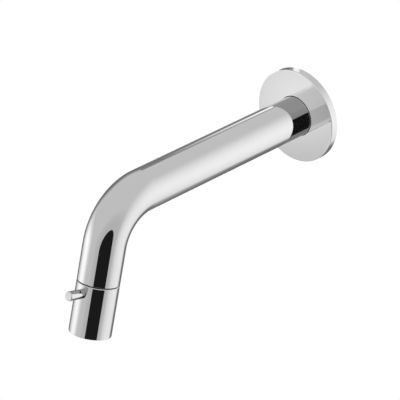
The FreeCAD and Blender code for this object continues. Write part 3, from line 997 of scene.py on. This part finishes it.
@dataclass
class Spout(Assembly):
    """The bent tube with the grub screw under it and the ring at its seam."""

    finishes = {Surface.STEEL: ["grub_screw"], Surface.BLACK: ["slide_ring"]}

    radius: float = 12.0
    wall: float = 1.5
    wall_gap: float = 0.5
    seam_height: float = 30.2
    edge_break: float = 0.3
    faces: int = 160
    grub_distance: float = 10.0
    grub_hole: float = 2.05
    grub_sides: int = 48
    grub_drill: float = 6.0
    grub_clearing: float = 3.5

    def build(self) -> None:
        """Make the tube and drill its screw hole."""
        end = LINE.length - self.seam_height
        bore = self.radius - self.wall
        corners = [
            Corner(bore, self.wall_gap, Edge.SMALL),
            Corner(self.radius, self.wall_gap, Edge.SOFT),
            Corner(self.radius, end - self.edge_break, Edge.FINE),
            Corner(self.radius - self.edge_break, end, Edge.HAIR),
            Corner(bore, end, Edge.SMALL),
        ]
        stations = LINE.stations() + beside(self.grub_distance, self.grub_clearing)
        outline = with_stations(rounded_outline(corners, guard=CLOSE_GUARD), stations)
        mesh = self.shop.turned("spout_tube_mesh", outline, Surface.CHROME, self.faces)
        place = Matrix.Translation((0.0, -self.grub_distance * MM, -self.radius * MM))
        mesh = drilled(mesh, self.grub_sides, self.grub_hole, self.grub_drill, place)
        self.shop.piece("polished_spout_tube", mesh, CadBody.SPOUT, Surface.CHROME, "spout_tube")


@dataclass
class Rosette(Assembly):
    """The round wall plate with its ring and gasket."""

    finishes = {Surface.RUBBER: ["rosette_o_ring"], Surface.FOAM: ["rosette_gasket"]}

    radius: float = 28.0
    height: float = 4.7
    edge: float = 0.5
    rim: float = 1.5
    recess: float = 2.0
    hole: float = 12.25
    hole_edge: float = 0.12
    seat: float = 13.6
    seat_floor: float = 3.6
    faces: int = 192

    def build(self) -> None:
        """Make the plate."""
        inner = self.radius - self.rim
        corners = [
            Corner(self.hole, self.height, self.hole_edge),
            Corner(self.radius, self.height, self.edge),
            Corner(self.radius, 0.0, Edge.EASED),
            Corner(inner, 0.0, Edge.SMALL),
            Corner(inner, self.recess, Edge.SOFT),
            Corner(self.seat, self.recess, Edge.FINE),
            Corner(self.seat, self.seat_floor),
            Corner(self.hole, self.seat_floor, Edge.FINE),
        ]
        outline = rounded_outline(corners, steps=8)
        mesh = self.shop.turned("rosette_mesh", outline, Surface.CHROME, self.faces)
        self.shop.piece("polished_rosette", mesh, CadBody.SPOUT, Surface.CHROME, "rosette")


@dataclass
class WallNipple(Assembly):
    """The brass supply nipple with real turns on its thread."""

    finishes = {Surface.RUBBER: ["nipple_o_rings"]}

    thread_radius: float = 10.478
    thread_depth: float = 1.162
    thread_pitch: float = 1.814
    thread_start: float = -15.35
    thread_stop: float = -0.95
    thread_end: float = -16.0
    ridge_sink: float = 0.15
    ridge_foot: float = 0.8
    ridge_crest: float = 0.16
    ridge_round: float = 0.09
    ridge_guard: float = 0.02
    lead_step: float = 0.1
    lead_length: float = 0.4
    relief_radius: float = 9.278
    relief_length: float = 1.5
    spigot_radius: float = 10.4
    spigot_end: float = 24.0
    spigot_chamfer: float = 0.8
    bore: float = 6.0
    ring_floor: float = 8.9
    ring_width: float = 2.0
    ring_places: Point = (17.0, 21.0)
    screw_floor: float = 8.75
    screw_width: float = 4.5
    screw_place: float = 10.0
    hexagon_depth: float = 10.0
    hexagon_overcut: float = 2.0
    faces: int = 96

    @property
    def root(self) -> float:
        """Radius at the foot of the thread."""
        return self.thread_radius - self.thread_depth

    def grooves(self) -> list[Corner]:
        """Give the corners of the three ring grooves.

        Returns:
            Corners from the wall outwards.
        """
        rows = [(self.screw_place, self.screw_width, self.screw_floor)]
        rows += [(place, self.ring_width, self.ring_floor) for place in self.ring_places]
        corners: list[Corner] = []
        for place, width, floor in rows:
            low, high = place - width / 2.0, place + width / 2.0
            corners += [Corner(self.spigot_radius, low), Corner(floor, low)]
            corners += [Corner(floor, high), Corner(self.spigot_radius, high)]
        return corners

    def body(self) -> Mesh:
        """Make the body and cut its hexagon.

        Returns:
            The body without the turns of its thread.
        """
        root, shoulder = self.root, self.spigot_end - self.spigot_chamfer
        corners = [
            Corner(self.bore, self.thread_end, Edge.FULL),
            Corner(root - self.lead_step, self.thread_end, Edge.FULL),
            Corner(root, self.thread_end + self.lead_length, Edge.SMALL),
            Corner(root, 0.0),
            Corner(self.relief_radius, 0.0),
            Corner(self.relief_radius, self.relief_length, Edge.SOFT),
            Corner(self.spigot_radius, self.relief_length, Edge.EASED),
            *self.grooves(),
            Corner(self.spigot_radius, shoulder, Edge.SMALL),
            Corner(self.spigot_radius - self.spigot_chamfer, self.spigot_end, Edge.SMALL),
            Corner(self.bore, self.spigot_end, Edge.SMALL),
        ]
        mesh = self.shop.turned("nipple_mesh", rounded_outline(corners), Surface.BRASS, self.faces)
        place = drill_frame(self.spigot_end - self.hexagon_depth / 2.0 + self.hexagon_overcut / 2.0)
        depth = self.hexagon_depth + self.hexagon_overcut
        return drilled(mesh, HEXAGON, corner_radius(self.bore * 2.0), depth, place)

    def thread(self) -> Mesh:
        """Make the turns of the thread.

        Returns:
            The turns as one ridge.
        """
        foot = self.root - self.ridge_sink
        corners = [
            Corner(foot, self.thread_start - self.ridge_foot),
            Corner(self.thread_radius, self.thread_start - self.ridge_crest, self.ridge_round),
            Corner(self.thread_radius, self.thread_start + self.ridge_crest, self.ridge_round),
            Corner(foot, self.thread_start + self.ridge_foot),
        ]
        ridge = rounded_outline(corners, steps=3, guard=self.ridge_guard)
        turns = (self.thread_stop - self.thread_start) / self.thread_pitch
        faces, rise = round(self.faces * turns), self.thread_pitch
        return self.shop.turned("thread_mesh", ridge, Surface.BRASS, faces, AXIS, turns, rise, foot)

    def build(self) -> None:
        """Make the nipple."""
        mesh = joined(self.body(), self.thread())
        self.shop.piece("brass_nipple", mesh, CadBody.SPOUT, Surface.BRASS, "wall_nipple")


@dataclass
class Outlet(Assembly):
    """The sleeve that turns at the end of the spout, and its pin with the stud that holds it."""

    finishes = {Surface.STEEL: ["lever_stud"]}

    radius: float = 12.0
    length: float = 29.7
    edge_break: float = 0.3
    chamber_radius: float = 9.3
    chamber_depth: float = 12.0
    flare_radius: float = 7.15
    flare_top: float = 14.5
    hub_bore: float = 5.65
    recess_radius: float = 8.1
    recess_floor: float = 27.5
    faces: int = 160
    pin_height: float = 24.58
    pin_radius: float = 2.7
    pin_base: float = 11.4
    pin_end: float = 22.4
    pin_round: float = 0.4
    pin_hole: float = 1.55
    pin_hole_end: float = 17.2
    pin_faces: int = 96
    pin_clearing: float = 4.0
    seat_fit: float = 0.05
    seat_sides: int = 48
    seat_drill: float = 6.0
    stud_sides: int = 32
    stud_drill: float = 12.0
    stud_set_back: float = 1.0

    @property
    def forward(self) -> Matrix:
        """The frame of the pin, in metres."""
        return LINE.foot_frame(self.pin_height)

    def sleeve(self) -> Mesh:
        """Make the sleeve with the seat of its pin and the hole for the stud.

        Returns:
            The sleeve in its place.
        """
        heights = [
            (self.chamber_radius, 0.0, Edge.EASED),
            (self.radius, 0.0, Edge.FULL),
            (self.radius, self.length - self.edge_break, Edge.FINE),
            (self.radius - self.edge_break, self.length, Edge.HAIR),
            (self.recess_radius, self.length, Edge.SMALL),
            (self.recess_radius, self.recess_floor, Edge.SHARP),
            (self.hub_bore, self.recess_floor, Edge.SMALL),
            (self.hub_bore, self.flare_top, Edge.SHARP),
            (self.flare_radius, self.chamber_depth, Edge.SHARP),
            (self.chamber_radius, self.chamber_depth, Edge.SHARP),
        ]
        corners = [Corner(radius, LINE.length - height, edge) for radius, height, edge in heights]
        stations = beside(LINE.length - self.pin_height, self.pin_clearing)
        outline = with_stations(rounded_outline(corners, steps=8, guard=CLOSE_GUARD), stations)
        mesh = self.shop.turned("sleeve_mesh", outline, Surface.CHROME, self.faces)
        seat = drill_frame(self.pin_base + self.seat_drill / 2.0, self.forward)
        mesh = drilled(mesh, self.seat_sides, self.pin_radius + self.seat_fit, self.seat_drill, seat)
        stud = drill_frame(self.pin_base - self.stud_set_back, self.forward)
        return drilled(mesh, self.stud_sides, self.pin_hole, self.stud_drill, stud)

    def pin(self) -> Mesh:
        """Make the pin with the blind hole for its stud.

        Returns:
            The pin in its place.
        """
        corners = [
            Corner(self.pin_hole, self.pin_base, Edge.SMALL),
            Corner(self.pin_radius, self.pin_base, Edge.SMALL),
            Corner(self.pin_radius, self.pin_end, self.pin_round),
            Corner(0.0, self.pin_end),
            Corner(0.0, self.pin_hole_end),
            Corner(self.pin_hole, self.pin_hole_end),
        ]
        outline = rounded_outline(corners, steps=8)
        mesh = self.shop.turned("pin_mesh", outline, Surface.CHROME, self.pin_faces, AXIS)
        mesh.transform(self.forward)
        return mesh

    def build(self) -> None:
        """Make the sleeve and the pin."""
        made = [
            ("polished_outlet_sleeve", self.sleeve(), "outlet_sleeve"),
            ("polished_pin_lever", self.pin(), "pin_lever"),
        ]
        for name, mesh, node in made:
            self.shop.piece(name, mesh, CadBody.OUTLET, Surface.CHROME, node)


@dataclass
class Aerator(Assembly):
    """The aerator in the mouth, with a honeycomb grid at its face."""

    finishes = {
        Surface.GREY: ["aerator_housing", "flow_regulator"],
        Surface.WHITE: ["aerator_strainer"],
        Surface.RUBBER: ["aerator_seal"],
    }

    grid_low: float = 1.8
    grid_height: float = 4.0
    grid_radius: float = 8.1
    cell_flats: float = 1.62
    pitch: float = 2.0
    reach: float = 6.2
    rows: int = 9

    def build(self) -> None:
        """Make the honeycomb grid."""
        values = {
            "Radius": self.grid_radius * MM,
            "Height": self.grid_height * MM,
            "Cell": corner_radius(self.cell_flats) * MM,
            "Pitch": self.pitch * MM,
            "Reach": self.reach * MM,
            "Rows": self.rows,
            "Finish": self.shop.materials[Surface.WHITE],
        }
        mesh = self.shop.honeycomb.run("grid_mesh", bpy.data.meshes.new("grid_start"), values)
        mesh.transform(LINE.foot_frame(self.grid_low + self.grid_height / 2.0))
        self.shop.piece("honeycomb_grid", mesh, CadBody.OUTLET, Surface.WHITE, "aerator_grid")


@dataclass
class Valve(Assembly):
    """The quarter-turn ceramic valve inside the end of the tube."""

    finishes = {
        Surface.BRASS: ["valve_carrier", "cartridge_housing", "spindle"],
        Surface.RUBBER: ["housing_o_ring", "seat_ring", "spindle_o_rings"],
        Surface.CERAMIC: ["fixed_disc", "turning_disc"],
        Surface.WHITE: ["thrust_washer"],
    }


def direction(azimuth: float, elevation: float) -> Vector:
    """Give the direction at an azimuth from the front and an elevation, in degrees."""
    turn, rise = math.radians(azimuth), math.radians(elevation)
    return Vector((math.sin(turn) * math.cos(rise), -math.cos(turn) * math.cos(rise), math.sin(rise)))


def slope(degrees: float) -> float:
    """Give the tangent of an angle in degrees."""
    return math.tan(math.radians(degrees))


@dataclass(frozen=True)
class Card:
    """A card of the stage that shows only in the tap's mirror finish.

    Attributes:
        name: What it is.
        level: Its brightness, where 1 is the white surround.
    """

    name: str
    level: float

    def rows(self) -> list[Row]:
        """Give the ends of its rows from its foot to its head, in metres."""
        raise NotImplementedError

    def mask(self, bench: NodeBench, across: Wire, up: Wire) -> Wire:
        """Give how solid it is.

        Args:
            bench: Where the nodes go.
            across: The place across it, from -1 to 1.
            up: The place from its foot to its head, from -1 to 1.

        Returns:
            A share from 0 to 1.
        """
        raise NotImplementedError

    def build(self) -> None:
        """Make the card, which only mirror rays see."""
        rows = self.rows()
        last = len(rows) - 1
        mesh = bpy.data.meshes.new(self.name)
        faces = [(2 * k, 2 * k + 1, 2 * k + 3, 2 * k + 2) for k in range(last)]
        mesh.from_pydata([end for row in rows for end in row], [], faces)
        layer = mesh.uv_layers.new(name="face")
        for loop, corner in zip(layer.data, mesh.loops):
            loop.uv = (corner.vertex_index % 2, corner.vertex_index // 2 / last)
        mesh.materials.append(shade(bpy.data.materials.new(self.name), self.face))
        card = placed(self.name, mesh)
        card.visible_camera = card.visible_diffuse = False
        card.visible_transmission = card.visible_shadow = False
        LOG.info("placed %s", self.name)

    def face(self, bench: NodeBench) -> Wire:
        """Give the shader of its glowing or dark face.

        Args:
            bench: Where the nodes go.

        Returns:
            The shader, clear where the card isn't solid.
        """
        across, up, _ = bench.split(bench.add("ShaderNodeTexCoord").out("UV"))
        solid = self.mask(bench, across * 2.0 - 1.0, up * 2.0 - 1.0)
        return bench.mix_shader(solid, bench.add("ShaderNodeBsdfTransparent"), bench.glow(self.level))


@dataclass(frozen=True)
class Panel(Card):
    """A card that stands round the tap, with edges that fade.

    Attributes:
        azimuth: Its direction seen from the tap, in degrees from the front.
        elevation: Its height, in degrees above the horizon.
        half_width: Half its width, in degrees.
        half_height: Half its height, in degrees.
        fade: The share of its half width over which its edge fades.
    """

    azimuth: float
    elevation: float
    half_width: float
    half_height: float
    fade: float

    def rows(self) -> list[Row]:
        """Stand the card square to the tap.

        Returns:
            Its lower and its upper edge.
        """
        width, height = CARD_DISTANCE * slope(self.half_width), CARD_DISTANCE * slope(self.half_height)
        back = direction(self.azimuth, self.elevation)
        turn = back.to_track_quat("Z", "Y").to_matrix().to_4x4()
        place = Matrix.Translation(STAGE_CENTRE + back * CARD_DISTANCE) @ turn
        sides, edges = (-width, width), (-height, height)
        return [tuple(place @ Vector((side, edge, 0.0)) for side in sides) for edge in edges]

    def mask(self, bench: NodeBench, across: Wire, up: Wire) -> Wire:
        """Fade its four edges."""
        inner = 1.0 - self.fade
        return bench.smooth_step(across.size(), 1.0, inner) * bench.smooth_step(up.size(), 1.0, inner)


@dataclass(frozen=True)
class Flag(Panel):
    """An arched card with a solid middle and a thin halo.

    Attributes:
        core: The half width of its middle, in degrees.
        halo: How solid it is just outside its middle.
        hang: How much longer it is below its centre than above.
    """

    core: float
    halo: float
    hang: float

    def mask(self, bench: NodeBench, across: Wire, up: Wire) -> Wire:
        """Round the middle and the halo.

        Args:
            bench: Where the nodes go.
            across: The place across it, from -1 to 1.
            up: The place from its foot to its head, from -1 to 1.

        Returns:
            A share from 0 to 1.
        """
        high, low = up.most(0.0), up.least(0.0) / self.hang
        away = bench.maths("POWER", across * across + high * high + low * low, 0.5)
        edge = slope(self.core) / slope(self.half_width)
        ring = bench.smooth_step(away, 1.0, edge) * self.halo
        return ring.most(bench.smooth_step(away, edge + self.fade, edge - self.fade))


@dataclass(frozen=True)
class Sector(Card):
    """A flat sector of a ring, level with the wall plate and seen from one side.

    Attributes:
        out: Distance from the wall, in millimetres.
        centre: The point that it opens from, aside of and above the tube's axis.
        angle: The direction of its middle, in degrees above the right.
        spread: Half its opening angle, in degrees.
        start: Distance of its inner edge from its centre.
        end: Distance of its outer edge.
        fade: The share of its half angle over which its sides fade.
        spent: The share of it that has faded at its outer edge, below 0 where it grows.
        solid: How solid it is at its inner edge.
        to_wall: Whether it is seen from the wall, and not from the front.
        steps: How many faces it has.
    """

    out: float
    centre: Point
    angle: float
    spread: float
    start: float
    end: float
    fade: float
    spent: float
    solid: float = 1.0
    to_wall: bool = False
    steps: int = 48

    def rows(self) -> list[Row]:
        """Lay the sector out from one side to the other.

        Returns:
            Its rays, from its inner to its outer edge.
        """
        aside, lift = self.centre
        middle = Vector((aside, -self.out, lift))
        sweep = -self.spread if self.to_wall else self.spread
        rows: list[Row] = []
        for step in range(self.steps + 1):
            turn = math.radians(self.angle + sweep * (2.0 * step / self.steps - 1.0))
            ray = Vector((math.cos(turn), 0.0, math.sin(turn)))
            rows.append(((middle + ray * self.start) * MM, (middle + ray * self.end) * MM))
        return rows

    def mask(self, bench: NodeBench, across: Wire, up: Wire) -> Wire:
        """Fade its sides, its outer edge and its back.

        Args:
            bench: Where the nodes go.
            across: The place from its inner to its outer edge, from -1 to 1.
            up: The place from one side to the other, from -1 to 1.

        Returns:
            A share from 0 to 1.
        """
        behind = bench.add("ShaderNodeNewGeometry").out("Backfacing")
        sides = bench.smooth_step(up.size(), 1.0, 1.0 - self.fade)
        left = 1.0 - self.spent * (0.5 + 0.5 * across)
        return (1.0 - behind) * sides * left * self.solid


CARDS: tuple[Card, ...] = (
    Panel("right_softbox", 1.677, 142.7, -7.3, half_width=57.1, half_height=55.3, fade=1.0),
    Panel("left_lamp", 1.948, -60.0, -6.7, half_width=32.9, half_height=25.4, fade=0.956),
    Panel("low_lamp", 1.509, -42.97, -25.5, half_width=3.26, half_height=2.72, fade=1.0),
    Panel("left_dark_card", 0.264, -118.3, -5.9, half_width=33.1, half_height=41.3, fade=0.77),
    Panel("low_dark_card", 0.242, -168.1, -37.4, half_width=27.4, half_height=26.6, fade=0.796),
    Panel("low_front_card", 0.58, -8.0, -44.5, half_width=25.0, half_height=10.0, fade=0.4),
    Panel("rear_dark_card", 0.02, -137.0, -24.0, half_width=46.0, half_height=44.0, fade=0.9),
    Flag(
        "black_flag", 0.02, 45.67, -11.4, half_width=58.9, half_height=58.9, fade=0.004,
        core=29.47, halo=0.171, hang=2.5,
    ),
    Sector(
        "plate_glow", 3.07, 45.0, centre=(2.5, 2.0), angle=33.0, spread=137.0, start=30.0, end=51.75,
        fade=0.05, spent=-0.18, solid=0.425, to_wall=True,
    ),
    Sector(
        "wall_shade", 0.3, 0.2, centre=(0.0, 12.0), angle=173.0, spread=34.5, start=13.0, end=160.0,
        fade=0.065, spent=0.2,
    ),
    Sector(
        "wall_glow", 1.9, 0.4, centre=(0.0, 12.0), angle=157.0, spread=14.0, start=14.6, end=136.0,
        fade=0.6, spent=1.0,
    ),
    Sector(
        "rim_shade", 0.24, 0.1, centre=(0.0, 0.0), angle=117.5, spread=11.0, start=27.6, end=31.5,
        fade=0.8, spent=0.0,
    ),
    Sector(
        "rim_glow", 1.62, 0.1, centre=(0.0, 0.0), angle=97.0, spread=7.0, start=27.9, end=31.8,
        fade=0.6, spent=0.0,
    ),
)


@dataclass
class Studio:
    """The white surround, the floor, the cards, the lamp and the camera, in metres."""

    floor_height: float = -1.9
    floor_half: float = 3.5
    floor_shade: float = 0.8
    surround: float = 0.6
    lamp_power: float = 22.0
    lamp_size: float = 1.4
    lamp_azimuth: float = -25.0
    lamp_elevation: float = 50.0
    lamp_distance: float = 2.2
    camera_azimuth: float = 42.99
    camera_elevation: float = 27.53
    camera_aim: tuple[float, float, float] = (0.0, -0.09, -0.02)
    camera_distance: float = 1.51649
    camera_aside: float = 0.00334
    camera_up: float = -0.00194
    focal_pixels: float = 2706.57
    picture_pixels: float = 400.0
    sensor: float = 36.0

    @staticmethod
    def clear() -> None:
        """Remove what Blender's own start scene holds."""
        for item in list(bpy.data.objects):
            bpy.data.objects.remove(item)

    @staticmethod
    def seen(bench: NodeBench) -> Wire:
        """Give 1 for rays from the camera, a mirror or clear glass, and 0 for others."""
        camera, mirror, glass = (bench.ray(kind) for kind in ("Camera", "Glossy", "Transmission"))
        return (camera + mirror + glass).least(1.0)

    def surround_shader(self, bench: NodeBench) -> Wire:
        """Give a surround that is white where it is seen and softer where it lights."""
        strength = self.surround + (1.0 - self.surround) * self.seen(bench)
        return bench.add("ShaderNodeBackground", {"Color": WHITE, "Strength": strength})

    def floor_shader(self, bench: NodeBench) -> Wire:
        """Give a floor that is white where it is seen and pale where it is lit."""
        pale = bench.add("ShaderNodeBsdfDiffuse", {"Color": (*[self.floor_shade] * 3, 1.0)})
        return bench.mix_shader(self.seen(bench), pale, bench.glow(1.0))

    def build_floor(self) -> None:
        """Make the pale floor, well below the tap."""
        half, low = self.floor_half, self.floor_height
        mesh = bpy.data.meshes.new("pale_floor")
        corners = [(-half, -half, low), (half, -half, low), (half, half, low), (-half, half, low)]
        mesh.from_pydata(corners, [], [(0, 1, 2, 3)])
        mesh.materials.append(shade(bpy.data.materials.new("pale_floor"), self.floor_shader))
        placed("pale_floor", mesh)

    def build_lamp(self) -> None:
        """Hang one large soft lamp that mirrors don't show."""
        data = bpy.data.lights.new("soft_lamp", "AREA")
        data.energy = self.lamp_power
        data.size = self.lamp_size
        lamp = placed("soft_lamp", data)
        back = direction(self.lamp_azimuth, self.lamp_elevation)
        lamp.location = STAGE_CENTRE + back * self.lamp_distance
        lamp.rotation_euler = back.to_track_quat("Z", "Y").to_euler()
        lamp.visible_glossy = False

    def build_camera(self) -> None:
        """Set the camera where the photograph was taken from."""
        back = direction(self.camera_azimuth, self.camera_elevation)
        turn = math.radians(self.camera_azimuth)
        right = Vector((math.cos(turn), math.sin(turn), 0.0))
        up = back.cross(right)
        data = bpy.data.cameras.new("camera")
        data.sensor_width = self.sensor
        data.lens = self.focal_pixels / self.picture_pixels * self.sensor
        camera = placed("camera", data)
        stand = Vector(self.camera_aim) + back * self.camera_distance
        camera.location = stand + right * self.camera_aside + up * self.camera_up
        camera.rotation_euler = back.to_track_quat("Z", "Y").to_euler()
        bpy.context.scene.camera = camera

    def build(self) -> None:
        """Make the whole stage."""
        self.build_camera()
        bpy.context.scene.world = shade(bpy.data.worlds.new("white_surround"), self.surround_shader)
        self.build_floor()
        self.build_lamp()
        for card in CARDS:
            card.build()
        bpy.context.scene.view_settings.view_transform = "Standard"


def main() -> None:
    """Build the stage and every sub-assembly in order."""
    logging.basicConfig(level=logging.INFO, format="%(name)s: %(message)s")
    Studio.clear()
    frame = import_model()
    Studio().build()
    shop = Workshop(frame)
    for kind in (WallNipple, Rosette, Spout, Outlet, Aerator, Valve):
        assembly = kind(shop)
        assembly.build()
        assembly.dress()


if __name__ == "__main__":
    main()
